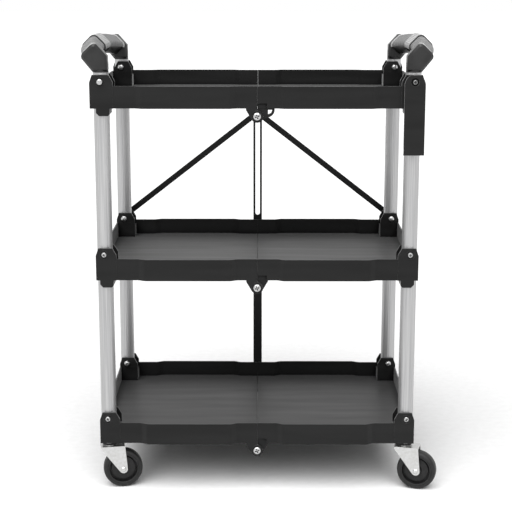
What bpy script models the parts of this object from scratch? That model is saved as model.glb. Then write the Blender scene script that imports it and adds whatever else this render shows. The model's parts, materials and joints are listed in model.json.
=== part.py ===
"""Three-shelf folding service cart, standing open on its four casters.

Metres, +Z up, the floor at z = 0. X runs across the cart from one handle to the other, Y from the front to
the back, and the origin is on the floor under the cart's middle. Each shelf is two half trays that hinge on
the legs and on each other, so that pulling the middle up folds the cart flat.
"""

from math import asin, cos, pi, radians, sin

import bmesh
import bpy
from mathutils import Matrix, Vector

# Frame
LEG_X = 0.2940  # middle plane to leg axis, across the cart
LEG_Y = 0.1905  # middle plane to leg axis, front to back
LEG_RADIUS = 0.015
LEG_BORE = 0.013
LEG_FOOT = 0.0950  # height of a leg's lower end
BOTTOM_PIVOT = 0.1475  # height of the bottom shelf's leg pivots
SHELF_PITCH = 0.331
HINGE_DROP = 0.065  # centre hinge below the leg pivots
LEVELS = {
    "bottom": BOTTOM_PIVOT,
    "middle": BOTTOM_PIVOT + SHELF_PITCH,
    "top": BOTTOM_PIVOT + 2 * SHELF_PITCH,
}
SIDES = {"left": -1, "right": 1}
ENDS = {"front": -1, "rear": 1}
GAP = 0.0003  # room between pieces that touch
GRID_DIGITS = 6  # decimals of a metre that the pieces' corners keep
BOLT_RADIUS = 0.004
BOLT_HOLE = 0.0045
BOLT_HEAD = 0.0053
NUT = (0.0060, 0.0035, 0.0060)  # radius, height of its flats, height of its dome

# Half trays, with heights measured from the leg pivot
RIM = -0.0085
WALL_FOOT = -0.0502
FLOOR_TOP = -0.0405
FLOOR_UNDER = -0.0435
WALL = 0.003
SEAM = 0.00075  # half the gap between the two halves
TRAY_END = {"bottom": 0.0160, "middle": 0.0162, "top": 0.0203}  # end wall's face beyond the leg axis
PROUD = 0.0003  # how far brackets and lugs stand out of the walls
WALL_FACE = {"seam": 0.2097, "corner": 0.2094}  # outer faces of the long walls at their two ends
BULGE_FACE = 0.2172  # and where they swell out between
BULGE_RAMPS = ((0.038, 0.053), (0.214, 0.231))  # where the swell starts and ends
RAMP_STEPS = 3
EAR_GAP = 0.0155  # half the slot between a bracket's ears
EAR_OUT = 0.0195  # leg axis to an ear's far face
EAR_TOP = 0.0123
EAR_CREST = (0.0160, 0.0050)  # its ends: leg axis inwards, and in from the tray's end
EAR_FLANK = -0.0020  # height of its outer corner
EAR_SHOULDER = -0.0010  # height of its inner corner
TOP_EAR = (0.0135, -0.0010, 0.0060)  # the top shelf's inner ears: outer face, its corner's height, top corner
BRACKET_IN = 0.0234  # leg axis to the bracket's inner face
POCKET_END = 0.0206  # leg axis to the pocket's closed end, inwards
POCKET_RIM = -0.0165
TONGUE_FOOT = -0.0645
TONGUE_WEB = 0.0154  # leg axis to the tongue's web
TONGUE_IN = 0.0172
TONGUE_OUT = 0.0087
RIB = 0.0025
CELL_SPAN = (0.0260, 0.2660)  # the ribbed stretch under the floor, from the seam
CELL_COLUMNS = 3
CELL_ROWS = (0.2050, 0.1030, 0.0)  # rib lines, from the front wall to the middle
PAST = 0.010  # how far cutters run past what they cut
LUG_RADIUS = 0.012
LUG_OUTER = (0.2060, 0.2100)  # the left half's hinge lugs
LUG_INNER = (0.2015, 0.2055)  # the right half's hinge lugs
LUG_NECK = 0.0210
LUG_STEPS = 7
NOTCH = (0.0186, 0.0095)  # width and height of the right half's notch over its lug

# Middle linkage behind the rear walls
SPINE_UPPER_Y = (0.2125, 0.2155)
SPINE_LOWER_Y = (0.2160, 0.2190)
SPINE_WIDTH = 0.019
SLOT_WIDTH = 0.010
SLOT_HEAD = 0.028  # below the upper hinge
SLOT_FOOT = 0.066  # above the lower hinge
BRACE_LENGTH = 0.3722
BRACE_WIDTH = 0.0125
BRACE_Y = {"right": (0.2205, 0.2232), "left": (0.2237, 0.2264)}
PIN_RADIUS = 0.0045
PIN_HOLE = 0.0050
PIN_Z = LEVELS["middle"] + (BRACE_LENGTH**2 - LEG_X**2) ** 0.5

# Handles
ELBOW_RISE = 0.0165  # elbow's shoulder above the top pivot
ELBOW_HALF = 0.015  # half its thickness, front to back
ELBOW_OUTLINE = (  # outwards from the leg axis, and up from the shoulder
    (0.0143, 0.0008),
    (0.0345, 0.0256),
    (0.0352, 0.0302),
    (0.0335, 0.0353),
    (0.0191, 0.0495),
    (0.0129, 0.0531),
    (0.0066, 0.0524),
    (-0.0133, 0.0302),
    (-0.0139, 0.0008),
)
ELBOW_COLLAR = (0.0146, 0.018)  # radius and height
ELBOW_SPIGOT = (0.0127, 0.011)  # radius and reach into the leg
GRIP_SOCKET = (0.0103, 0.0095)  # radius and depth
GRIP_SPIGOT = (0.0100, 0.0085)  # radius and reach into the elbow
GRIP_CENTRE = (0.0130, 0.0300)  # bar's end section, outwards and up from the shoulder
GRIP_BOW = (0.0170, 0.0085)  # how far its middle bows out and up
BOW_POWER = 3.0  # how late it turns towards the ends
GRIP_HALF_SIDE = 0.0180
GRIP_BAND = 0.040  # half length of the raised band in the middle
BAND_SCALE = 1.14
GROOVE_SCALE = 0.93
GRIP_SIDES = 12

# Latch that holds the folded cart shut
LATCH_HALF = 0.0195
LATCH_FOOT = 0.1368
LATCH_Y = (0.2200, 0.2250)
STUD_RADIUS = 0.0038
FOLDED_SPAN = 2 * HINGE_DROP  # leg axis to leg axis when the cart is folded

# Casters
TRAIL = 0.0255
WHEEL_RADIUS = 0.0391
WHEEL_HALF = 0.012
HUB_HALF = 0.013
PLUG_HEAD = 0.1160
PLUG_FOOT = 0.0902
STEM_HEAD = 0.1130
FORK_TOP = 0.0875
FORK_PLATE = 0.003
FORK_INNER = 0.0135
FORK_OUTER = 0.016
FORK_EYE = 0.0083
AXLE_RADIUS = 0.004
CASTER_TURNS = {  # the way each caster trails, from +X towards +Y, in degrees
    ("left", "front"): 10,
    ("right", "front"): -15,
    ("left", "rear"): 12,
    ("right", "rear"): -50,
}

# Turned pieces' steps
LEG_STEPS = 20
BOLT_STEPS = 10
BORE_STEPS = 8
WHEEL_STEPS = 20


def new_collection(name):
    """A new collection in the scene."""
    collection = bpy.data.collections.new(name)
    bpy.context.scene.collection.children.link(collection)
    return collection


def make_material(name, colour, roughness, metallic=0.0):
    """One Principled finish."""
    material = bpy.data.materials.new(name)
    material.use_nodes = True
    shader = material.node_tree.nodes["Principled BSDF"]
    shader.inputs["Base Color"].default_value = (*colour, 1.0)
    shader.inputs["Roughness"].default_value = roughness
    shader.inputs["Metallic"].default_value = metallic
    return material


def loose(mesh):
    """An unnamed working object that holds a mesh."""
    thing = bpy.data.objects.new("working", mesh)
    bpy.context.scene.collection.objects.link(thing)
    return thing


def baked(thing):
    """The object's mesh with its modifiers and its place, and the object removed."""
    bpy.context.view_layer.update()
    graph = bpy.context.evaluated_depsgraph_get()
    mesh = bpy.data.meshes.new_from_object(thing.evaluated_get(graph))
    mesh.transform(thing.matrix_world)
    bpy.data.objects.remove(thing, do_unlink=True)
    return mesh


def welded(mesh):
    """The mesh on a fine grid, so that flush faces meet exactly, with its doubles merged and faces out."""
    shape = bmesh.new()
    shape.from_mesh(mesh)
    for vert in shape.verts:
        vert.co = [round(value, GRID_DIGITS) for value in vert.co]
    bmesh.ops.remove_doubles(shape, verts=shape.verts, dist=1e-6)
    bmesh.ops.dissolve_degenerate(shape, edges=shape.edges, dist=1e-6)
    bmesh.ops.dissolve_limit(shape, angle_limit=radians(0.1), verts=shape.verts, edges=shape.edges)
    bmesh.ops.recalc_face_normals(shape, faces=shape.faces)
    shape.to_mesh(mesh)
    shape.free()
    return mesh


def moved(mesh, *matrices):
    """A copy of the mesh, moved by each matrix in turn."""
    copy = mesh.copy()
    for matrix in matrices:
        copy.transform(matrix)
        if matrix.is_negative:
            copy.flip_normals()
    return copy


def turned(profile, steps, bored=False):
    """A profile of (radius, height) points turned about Z, top first down its outer side."""
    count = len(profile)
    edges = [(index, index + 1) for index in range(count - 1)]
    if bored:
        edges.append((count - 1, 0))
    mesh = bpy.data.meshes.new("profile")
    mesh.from_pydata([(radius, 0.0, height) for radius, height in profile], edges, [])
    thing = loose(mesh)
    screw = thing.modifiers.new("turn", "SCREW")
    screw.steps = steps
    screw.render_steps = steps
    screw.use_merge_vertices = True
    screw.merge_threshold = 1e-6
    return baked(thing)


def flat(outlines, low, high):
    """Outlines in the XY plane, the first one outside and the rest holes, filled from low to high."""
    curve = bpy.data.curves.new("outline", "CURVE")
    curve.dimensions = "2D"
    curve.fill_mode = "BOTH"
    curve.extrude = (high - low) / 2
    for outline in outlines:
        spline = curve.splines.new("POLY")
        spline.points.add(len(outline) - 1)
        for point, (across, along) in zip(spline.points, outline):
            point.co = (across, along, 0.0, 1.0)
        spline.use_cyclic_u = True
    mesh = baked(loose(curve))
    mesh.transform(Matrix.Translation((0.0, 0.0, (low + high) / 2)))
    return welded(mesh)


def upright(outlines, front, back):
    """Outlines in the XZ plane, filled from one Y to another."""
    mesh = flat(outlines, -back, -front)
    mesh.transform(Matrix.Rotation(pi / 2, 4, "X"))
    return welded(mesh)


def block(low, high):
    """A box between two corners."""
    shape = bmesh.new()
    bmesh.ops.create_cube(shape, size=1.0)
    mesh = bpy.data.meshes.new("block")
    shape.to_mesh(mesh)
    shape.free()
    size = Vector(high) - Vector(low)
    mesh.transform(Matrix.Translation((Vector(low) + Vector(high)) / 2) @ Matrix.Diagonal((*size, 1.0)))
    return welded(mesh)


def rod(radius, low, high, steps=BOLT_STEPS):
    """A plain cylinder on the Z axis."""
    return turned([(0.0, high), (radius, high), (radius, low), (0.0, low)], steps)


def along_y(mesh, outwards=1):
    """A mesh turned about Z, laid along Y, so that its top looks out towards +Y or -Y."""
    return moved(mesh, Matrix.Rotation(-outwards * pi / 2, 4, "X"))


def joined(base, added=(), cut=()):
    """The base mesh with meshes added to it and then cut from it."""
    thing = loose(base)
    tools = []
    for operation, meshes in (("UNION", added), ("DIFFERENCE", cut)):
        for mesh in meshes:
            tool = loose(mesh)
            tool.hide_render = True
            tool.display_type = "WIRE"
            modifier = thing.modifiers.new(operation.lower(), "BOOLEAN")
            modifier.operation = operation
            modifier.solver = "EXACT"
            modifier.object = tool
            tools.append(tool)
    mesh = baked(thing)
    for tool in tools:
        bpy.data.objects.remove(tool, do_unlink=True)
    return welded(mesh)


def arc(centre, radius, start, end, steps):
    """Points on a round stretch of an outline, in degrees, ends included."""
    angles = [radians(start + (end - start) * step / steps) for step in range(steps + 1)]
    return [(centre[0] + radius * cos(angle), centre[1] + radius * sin(angle)) for angle in angles]


def circle(centre, radius, steps=BORE_STEPS):
    """A whole round outline."""
    return arc(centre, radius, 0, 360, steps)[:-1]


def capsule(low, high, radius, steps=6):
    """The outline of an upright slot between two centre heights."""
    return arc((0.0, high), radius, 0, 180, steps) + arc((0.0, low), radius, 180, 360, steps)


def place(name, mesh, material, position=(0.0, 0.0, 0.0), turn=0.0):
    """A named sub-part, turned about the vertical and set at its place under the cart's empty."""
    part = bpy.data.objects.new(name, mesh)
    PARTS.objects.link(part)
    part.parent = CART
    part.location = position
    part.rotation_euler = (0.0, 0.0, turn)
    if not mesh.materials:
        mesh.materials.append(material)
    return part


def long_wall(distance):
    """How far out a long wall's outer face lies, at a distance from the seam."""
    (rise_start, rise_end), (fall_start, fall_end) = BULGE_RAMPS
    if distance < (rise_end + fall_start) / 2:
        level, share = WALL_FACE["seam"], (distance - rise_start) / (rise_end - rise_start)
    else:
        level, share = WALL_FACE["corner"], (fall_end - distance) / (fall_end - fall_start)
    share = min(max(share, 0.0), 1.0)
    return level + (BULGE_FACE - level) * share * share * (3 - 2 * share)


def wall_run(inset):
    """Points along the front wall from the seam towards the bracket, drawn in by the inset."""
    stations = [SEAM]
    for start, end in BULGE_RAMPS:
        stations += [start + (end - start) * step / RAMP_STEPS for step in range(RAMP_STEPS + 1)]
    return [(station, inset - long_wall(station)) for station in stations]


def bracket(end, tongue):
    """A corner bracket as a solid block, seen from the front, from its outer foot round over the top."""
    foot = WALL_FOOT - PROUD
    outline = [
        (LEG_X + end, foot),
        (LEG_X + end, EAR_FLANK),
        (LEG_X + end - EAR_CREST[1], EAR_TOP),
        (LEG_X - EAR_CREST[0], EAR_TOP),
        (LEG_X - BRACKET_IN, EAR_SHOULDER),
        (LEG_X - BRACKET_IN, foot),
    ]
    if tongue:
        outline += [
            (LEG_X - TONGUE_IN, foot),
            (LEG_X - TONGUE_IN, TONGUE_FOOT + 0.0035),
            (LEG_X - TONGUE_IN + 0.0035, TONGUE_FOOT),
            (LEG_X + TONGUE_OUT - 0.0055, TONGUE_FOOT),
            (LEG_X + TONGUE_OUT, TONGUE_FOOT + 0.0060),
            (LEG_X + TONGUE_OUT, foot),
        ]
    return upright([outline], -(LEG_Y + EAR_OUT), -(LEG_Y - EAR_OUT))


def leg_slot():
    """What a leg sweeps between its ears, from upright to folded."""
    far = 0.06
    outline = [
        (LEG_X + far, -0.09),
        (LEG_X - TONGUE_WEB, -0.09),
        (LEG_X - TONGUE_WEB, WALL_FOOT - 2 * PROUD),
        (LEG_X - POCKET_END, WALL_FOOT - 2 * PROUD),
        (LEG_X - POCKET_END, POCKET_RIM),
        (LEG_X - far, POCKET_RIM),
        (LEG_X - far, far),
        (LEG_X + far, far),
    ]
    return upright([outline], -(LEG_Y + EAR_GAP), -(LEG_Y - EAR_GAP))


def ear_trim():
    """What the top shelf's inner ears lack at their outer edge, over the rim."""
    across, shoulder, corner = TOP_EAR
    outline = [
        (LEG_X + across, RIM + PROUD),
        (LEG_X + across, shoulder),
        (LEG_X + corner, EAR_TOP + PROUD),
        (LEG_X + EAR_OUT + PAST, EAR_TOP + PROUD),
        (LEG_X + EAR_OUT + PAST, RIM + PROUD),
    ]
    return upright([outline], -(LEG_Y - EAR_GAP + 0.001), -(LEG_Y - EAR_OUT - 0.001))


def tray_interior(end):
    """The tray's inside, past the middle plane and the open seam, round the bracket's block."""
    outline = wall_run(WALL)
    outline[0] = (-PAST, outline[0][1])
    outline += [
        (LEG_X - BRACKET_IN - PROUD, outline[-1][1]),
        (LEG_X - BRACKET_IN - PROUD, -(LEG_Y - EAR_OUT) + PROUD),
        (LEG_X + end - WALL, -(LEG_Y - EAR_OUT) + PROUD),
        (LEG_X + end - WALL, PAST),
        (-PAST, PAST),
    ]
    return flat([outline], FLOOR_TOP, PAST)


def underside_cells(end):
    """The hollows between the ribs under the floor, for the front half of the tray."""
    foot = WALL_FOOT - PAST
    first, last = CELL_SPAN
    pitch = (last - first + RIB) / CELL_COLUMNS
    cells = []
    for column in range(CELL_COLUMNS):
        start = first + column * pitch
        for near, far in zip(CELL_ROWS, CELL_ROWS[1:]):
            cells.append(block((start, -near + RIB / 2, foot), (start + pitch - RIB, -far - RIB / 2, FLOOR_UNDER)))
    cells.append(block((SEAM + WALL, -LUG_INNER[0] + 0.0055, foot), (first - RIB, -RIB / 2, FLOOR_UNDER)))
    inner = -(LEG_Y - EAR_OUT - WALL)
    cells.append(block((last + RIB, inner, foot), (LEG_X + end - WALL, -RIB / 2, FLOOR_UNDER)))
    return cells


def outer_lug():
    """The left half's hinge lug, flush with the wall, drawn on the right half's side."""
    head = WALL_FOOT + 0.006
    outline = [(LUG_NECK, head), (LUG_NECK, WALL_FOOT - 0.003)]
    outline += arc((0.0, -HINGE_DROP), LUG_RADIUS, 325, 180, LUG_STEPS)
    outline += [(SEAM, WALL_FOOT - 0.001), (SEAM, head)]
    return upright([outline], -LUG_OUTER[1], -LUG_OUTER[0])


def inner_lug(hooked):
    """The right half's hinge lug behind the other, which the top shelf carries on into a tie eye."""
    head = FLOOR_UNDER + 0.001
    outline = [(SEAM, head)]
    holes = []
    if hooked:
        outline += [(0.0330, head), (0.0330, WALL_FOOT - 0.003)]
        outline += arc((0.0190, WALL_FOOT - 0.003), 0.0140, -12, -75, 4)
        holes.append([(0.0205, -0.0530), (0.0285, -0.0530), (0.0262, -0.0590), (0.0205, -0.0615)])
    else:
        outline += [(LUG_NECK, head), (LUG_NECK, WALL_FOOT - 0.003)]
    outline += arc((0.0, -HINGE_DROP), LUG_RADIUS, 325, 180, LUG_STEPS)
    outline += [(SEAM, WALL_FOOT - 0.001)]
    return upright([outline] + holes, -LUG_INNER[1], -LUG_INNER[0])


def half_tray(side, level):
    """One half of a shelf, drawn on the right, with heights from its leg pivot."""
    end = TRAY_END[level]
    face = LEG_X + end - PROUD
    outline = wall_run(0.0) + [(face, -WALL_FACE["corner"]), (face, PAST), (SEAM, PAST)]
    body = flat([outline], WALL_FOOT, RIM)
    added = [bracket(end, level != "bottom")]
    cut = [tray_interior(end), leg_slot()] + underside_cells(end)
    if level == "top":
        cut.append(ear_trim())
    bore = along_y(rod(BOLT_HOLE, -0.25, -0.15, BORE_STEPS))
    cut.append(moved(bore, Matrix.Translation((LEG_X, 0.0, 0.0))))
    if side == "left":
        added.append(outer_lug())
    else:
        added.append(inner_lug(level == "top"))
        width, height = NOTCH
        notch = block((-PAST, -0.25, WALL_FOOT - PAST), (width, -LUG_INNER[1] - 0.0007, WALL_FOOT + height))
        cut.append(notch)
    cut.append(moved(bore, Matrix.Translation((0.0, 0.0, -HINGE_DROP))))
    return mirrored(joined(body, added, cut))


def mirrored(mesh):
    """The front part of a mesh and its reflection in the middle plane."""
    thing = loose(mesh)
    mirror = thing.modifiers.new("both ends", "MIRROR")
    mirror.use_axis = (False, True, False)
    mirror.use_bisect_axis = (False, True, False)
    mirror.use_bisect_flip_axis = (False, True, False)
    mirror.merge_threshold = 1e-5
    return welded(baked(thing))


def leg():
    """A round tube with a bolt hole at each shelf."""
    head = LEVELS["top"] + ELBOW_RISE - GAP
    tube = turned(
        [(LEG_RADIUS, head), (LEG_RADIUS, LEG_FOOT), (LEG_BORE, LEG_FOOT), (LEG_BORE, head)], LEG_STEPS, True
    )
    bore = along_y(rod(BOLT_HOLE, -0.03, 0.03, BORE_STEPS))
    bores = [moved(bore, Matrix.Translation((0.0, 0.0, height))) for height in LEVELS.values()]
    return joined(tube, [], bores)


def elbow():
    """A moulded corner for the front left, from its shoulder: a collar, a leaning arm and a spigot."""
    arm = upright([[(-out, up) for out, up in ELBOW_OUTLINE]], -ELBOW_HALF, ELBOW_HALF)
    thing = loose(arm)
    bevel = thing.modifiers.new("soft edges", "BEVEL")
    bevel.width = 0.0045
    bevel.segments = 1
    bevel.angle_limit = radians(65)
    arm = welded(baked(thing))
    collar = rod(ELBOW_COLLAR[0], 0.0, ELBOW_COLLAR[1], LEG_STEPS)
    spigot = rod(ELBOW_SPIGOT[0], -ELBOW_SPIGOT[1], 0.002, LEG_STEPS)
    out, up = GRIP_CENTRE
    radius, depth = GRIP_SOCKET
    socket = moved(
        along_y(rod(radius, 0.0, 2 * depth, 16)), Matrix.Translation((-out, ELBOW_HALF - depth, up))
    )
    return joined(arm, [collar, spigot], [socket])


def grip_section(station, scale):
    """The left bar's section at a distance from the middle plane: a square on its corner, rounded."""
    reach = LEG_Y - ELBOW_HALF - GAP
    share = 1.0 - abs(station / reach) ** BOW_POWER
    out = GRIP_CENTRE[0] + GRIP_BOW[0] * share
    up = GRIP_CENTRE[1] + GRIP_BOW[1] * share
    ring = []
    for step in range(GRIP_SIDES):
        angle = 2 * pi * (step + 0.5) / GRIP_SIDES
        first = abs(cos(angle)) ** 0.5 * (1 if cos(angle) > 0 else -1)
        second = abs(sin(angle)) ** 0.5 * (1 if sin(angle) > 0 else -1)
        across = GRIP_HALF_SIDE * scale * (first - second) * 0.5**0.5
        above = GRIP_HALF_SIDE * scale * (first + second) * 0.5**0.5
        ring.append((-out + across, station, up + above))
    return ring


def grip():
    """The left handle bar, bowed outwards, with a raised band in its middle and a spigot at each end."""
    reach = LEG_Y - ELBOW_HALF - GAP
    band = GRIP_BAND
    half = [(reach, GROOVE_SCALE), (reach - 0.003, 1.0), (reach - 0.022, 1.0), (reach - 0.050, 1.0)]
    half += [(0.105, 1.0), (0.085, 1.0), (0.065, 1.0), (band + 0.0035, 1.0), (band + 0.003, GROOVE_SCALE)]
    half += [(band + 0.0005, GROOVE_SCALE), (band, BAND_SCALE), (0.020, BAND_SCALE)]
    stations = [(-place_at, scale) for place_at, scale in half] + [(0.0, BAND_SCALE)]
    stations += [(place_at, scale) for place_at, scale in reversed(half)]
    shape = bmesh.new()
    rings = [[shape.verts.new(point) for point in grip_section(*station)] for station in stations]
    for ring, following in zip(rings, rings[1:]):
        for step in range(GRIP_SIDES):
            after = (step + 1) % GRIP_SIDES
            shape.faces.new((ring[step], ring[after], following[after], following[step]))
    shape.faces.new(rings[0])
    shape.faces.new(rings[-1])
    mesh = bpy.data.meshes.new("grip")
    shape.to_mesh(mesh)
    shape.free()
    out, up = GRIP_CENTRE
    radius, far = GRIP_SPIGOT
    spigot = moved(along_y(rod(radius, -reach - far, reach + far, 16)), Matrix.Translation((-out, 0.0, up)))
    ends = [
        joined(moved(spigot), [], [block((-0.1, -reach + 0.004, -0.1), (0.1, 0.3, 0.2))]),
        joined(moved(spigot), [], [block((-0.1, -0.3, -0.1), (0.1, reach - 0.004, 0.2))]),
    ]
    return joined(welded(mesh), ends)


def pivot_bolt(reach, head, collar=None, cap=True):
    """A leg pivot: nut inside, shank, and head outside, measured along its axis from the leg's."""
    inside = -(EAR_OUT + GAP)
    shape = []
    if cap:
        shape += [(0.0, reach + 0.0036), (0.0042, reach + 0.0031), (head, reach + 0.0012), (head, reach)]
    else:
        shape += [(0.0, reach)]
    shape += [(BOLT_RADIUS, reach)]
    if collar:
        shape += [(BOLT_RADIUS, collar), (0.0065, collar), (0.0065, EAR_OUT + GAP)]
    shape += [(BOLT_RADIUS, EAR_OUT + GAP), (BOLT_RADIUS, inside)]
    shape += [(NUT[0], inside), (NUT[0], inside - NUT[1]), (0.0, inside - NUT[2])]
    return turned(shape, BOLT_STEPS)


def stud_bolt():
    """The top left front pivot, whose long head is the latch's catch."""
    ear = EAR_OUT + GAP
    inside = -ear
    tip = 0.2232 - LEG_Y
    shape = [(0.0, tip), (STUD_RADIUS, tip), (STUD_RADIUS, 0.2190 - LEG_Y), (0.0055, 0.2186 - LEG_Y)]
    shape += [(0.0055, ear), (BOLT_RADIUS, ear), (BOLT_RADIUS, inside)]
    shape += [(NUT[0], inside), (NUT[0], inside - NUT[1]), (0.0, inside - NUT[2])]
    return turned(shape, BOLT_STEPS)


def hinge_bolt(bars):
    """A centre hinge bolt along +Y from the middle plane: at the front its head shows, behind it holds bars."""
    inner = LUG_INNER[0] - GAP
    outer = LUG_OUTER[1] + GAP
    if bars is None:
        shape = [(0.0, outer + 0.0038), (0.0045, outer + 0.0033), (0.0072, outer + 0.0012), (0.0072, outer)]
    else:
        near, far = bars
        shape = [(0.0, far + 0.0012), (0.0050, far + 0.0012), (0.0062, far + GAP)]
        shape += [(BOLT_RADIUS, far + GAP), (BOLT_RADIUS, near - GAP), (0.0065, near - GAP), (0.0065, outer)]
    shape += [(BOLT_RADIUS, outer), (BOLT_RADIUS, inner)]
    shape += [(0.0062, inner), (0.0062, inner - 0.0040), (0.0, inner - 0.0048)]
    return turned(shape, BOLT_STEPS)


def spine_upper():
    """The slotted bar between the top and middle hinges, from the lower hinge."""
    outline = capsule(0.0, SHELF_PITCH, SPINE_WIDTH / 2)
    slot = capsule(SLOT_FOOT + SLOT_WIDTH / 2, SHELF_PITCH - SLOT_HEAD, SLOT_WIDTH / 2)
    holes = [slot, circle((0.0, 0.0), BOLT_HOLE), circle((0.0, SHELF_PITCH), BOLT_HOLE)]
    return upright([outline] + holes, *SPINE_UPPER_Y)


def spine_lower():
    """The plain bar between the middle and bottom hinges, from the lower hinge."""
    outline = capsule(0.0, SHELF_PITCH, SPINE_WIDTH / 2)
    holes = [circle((0.0, 0.0), BOLT_HOLE), circle((0.0, SHELF_PITCH), BOLT_HOLE)]
    return upright([outline] + holes, *SPINE_LOWER_Y)


def brace(side):
    """A flat brace from its upper eye, with a rivet head where it meets the leg pivot."""
    near, far = BRACE_Y[side]
    outline = capsule(-BRACE_LENGTH, 0.0, BRACE_WIDTH / 2)
    bar = upright([outline, circle((0.0, 0.0), PIN_HOLE)], near, far)
    rivet = moved(
        along_y(turned([(0.0, 0.0035), (0.0036, 0.0028), (0.0052, 0.0), (0.0052, -0.001), (0.0, -0.001)], 12)),
        Matrix.Translation((0.0, far, -BRACE_LENGTH)),
    )
    lean = SIDES[side] * asin(LEG_X / BRACE_LENGTH)
    return moved(joined(bar, [rivet]), Matrix.Rotation(-lean, 4, "Y"))


def brace_pin():
    """The pin that joins the braces and slides in the slot, along +Y."""
    near = LUG_OUTER[1] + 0.0006
    far = BRACE_Y["left"][1] + GAP
    shape = [(0.0, far + 0.0034), (0.0048, far + 0.0028), (0.0072, far + 0.0008), (0.0072, far)]
    shape += [(PIN_RADIUS, far), (PIN_RADIUS, BRACE_Y["right"][0] - GAP), (0.0072, BRACE_Y["right"][0] - GAP)]
    shape += [(0.0072, SPINE_UPPER_Y[1] + GAP), (PIN_RADIUS, SPINE_UPPER_Y[1] + GAP)]
    shape += [(PIN_RADIUS, SPINE_UPPER_Y[0] - GAP), (0.0070, SPINE_UPPER_Y[0] - GAP), (0.0070, near), (0.0, near)]
    return turned(shape, BOLT_STEPS)


def latch():
    """The long latch from its bolt, hanging down, with a blind catch slot in its back."""
    top = 0.0125
    outline = [(-LATCH_HALF, -LATCH_FOOT), (LATCH_HALF, -LATCH_FOOT), (LATCH_HALF, -0.003)]
    outline += [(LATCH_HALF - 0.0021, 0.0040), (LATCH_HALF - 0.0055, 0.0090), (0.0095, top), (-0.0095, top)]
    outline += [(-LATCH_HALF + 0.0055, 0.0090), (-LATCH_HALF + 0.0021, 0.0040), (-LATCH_HALF, -0.003)]
    plate = upright([outline], -LATCH_Y[1], -LATCH_Y[0])
    ear = LEG_Y + EAR_OUT + GAP
    boss = along_y(rod(0.0095, ear, LATCH_Y[0] + 0.001, 16), -1)
    bore = along_y(rod(BOLT_HOLE, 0.2, 0.3, BORE_STEPS), -1)
    counterbore = along_y(rod(0.0078, LATCH_Y[1] - 0.0034, 0.3, 16), -1)
    slot_half = STUD_RADIUS + 0.0006
    slot = block(
        (-0.05, -(LATCH_Y[0] + 0.0036), -FOLDED_SPAN - slot_half),
        (slot_half, -(LATCH_Y[0] - 0.005), -FOLDED_SPAN + slot_half + 0.0016),
    )
    return joined(plate, [boss], [bore, counterbore, slot])


def leg_plug():
    """The black end plug of a leg, bored for the caster's stem."""
    under = LEG_FOOT - GAP
    profile = [(0.0127, PLUG_HEAD), (0.0127, under), (LEG_RADIUS, under), (LEG_RADIUS, PLUG_FOOT)]
    profile += [(0.0053, PLUG_FOOT), (0.0053, PLUG_HEAD)]
    return turned(profile, LEG_STEPS, True)


def caster_stem():
    """The stem in the plug, with the race above the fork and the riveted end below it."""
    neck = 0.0042
    race = PLUG_FOOT - GAP
    profile = [(0.0, STEM_HEAD), (0.0050, STEM_HEAD), (0.0050, race), (0.0120, race), (0.0120, FORK_TOP + GAP)]
    profile += [(neck, FORK_TOP + GAP), (neck, FORK_TOP - FORK_PLATE - GAP)]
    profile += [(0.0070, FORK_TOP - FORK_PLATE - GAP), (0.0070, FORK_TOP - 0.0052), (0.0, FORK_TOP - 0.0052)]
    return turned(profile, 12)


def caster_fork():
    """The pressed fork about its stem, trailing towards +X."""
    eye = (TRAIL, WHEEL_RADIUS)
    outline = [(-0.0185, FORK_TOP), (-0.0185, FORK_TOP - 0.004)]
    outline += arc(eye, FORK_EYE, 217, 367, 8)
    outline += [(0.0295, FORK_TOP - 0.001), (0.0285, FORK_TOP)]
    body = upright([outline], -FORK_OUTER, FORK_OUTER)
    inside = block((-0.05, -FORK_INNER, -0.01), (0.08, FORK_INNER, FORK_TOP - FORK_PLATE))
    bore = rod(0.0048, 0.07, 0.1, BORE_STEPS)
    axle_bore = along_y(rod(0.0045, -0.03, 0.03, BORE_STEPS))
    axle_bore = moved(axle_bore, Matrix.Translation((TRAIL, 0.0, WHEEL_RADIUS)))
    return joined(body, [], [inside, bore, axle_bore])


def caster_axle():
    """The riveted axle along +Y."""
    end = FORK_OUTER + GAP
    shape = [(0.0, end + 0.0022), (0.0034, end + 0.0018), (0.0056, end), (AXLE_RADIUS, end)]
    shape += [(AXLE_RADIUS, -end), (0.0056, -end), (0.0034, -end - 0.0018), (0.0, -end - 0.0022)]
    return turned(shape, BOLT_STEPS)


def caster_wheel():
    """The moulded wheel: a tread, a raised tyre ring, a dished web and a hub."""
    half = [(WHEEL_RADIUS, 0.0075), (WHEEL_RADIUS - 0.0030, WHEEL_HALF)]
    half += [(0.0275, WHEEL_HALF), (0.0255, 0.0085), (0.0110, 0.0085), (0.0100, HUB_HALF), (0.0045, HUB_HALF)]
    profile = [(radius, height) for radius, height in reversed(half)]
    profile += [(radius, -height) for radius, height in half]
    return turned(profile, WHEEL_STEPS, True)


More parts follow.
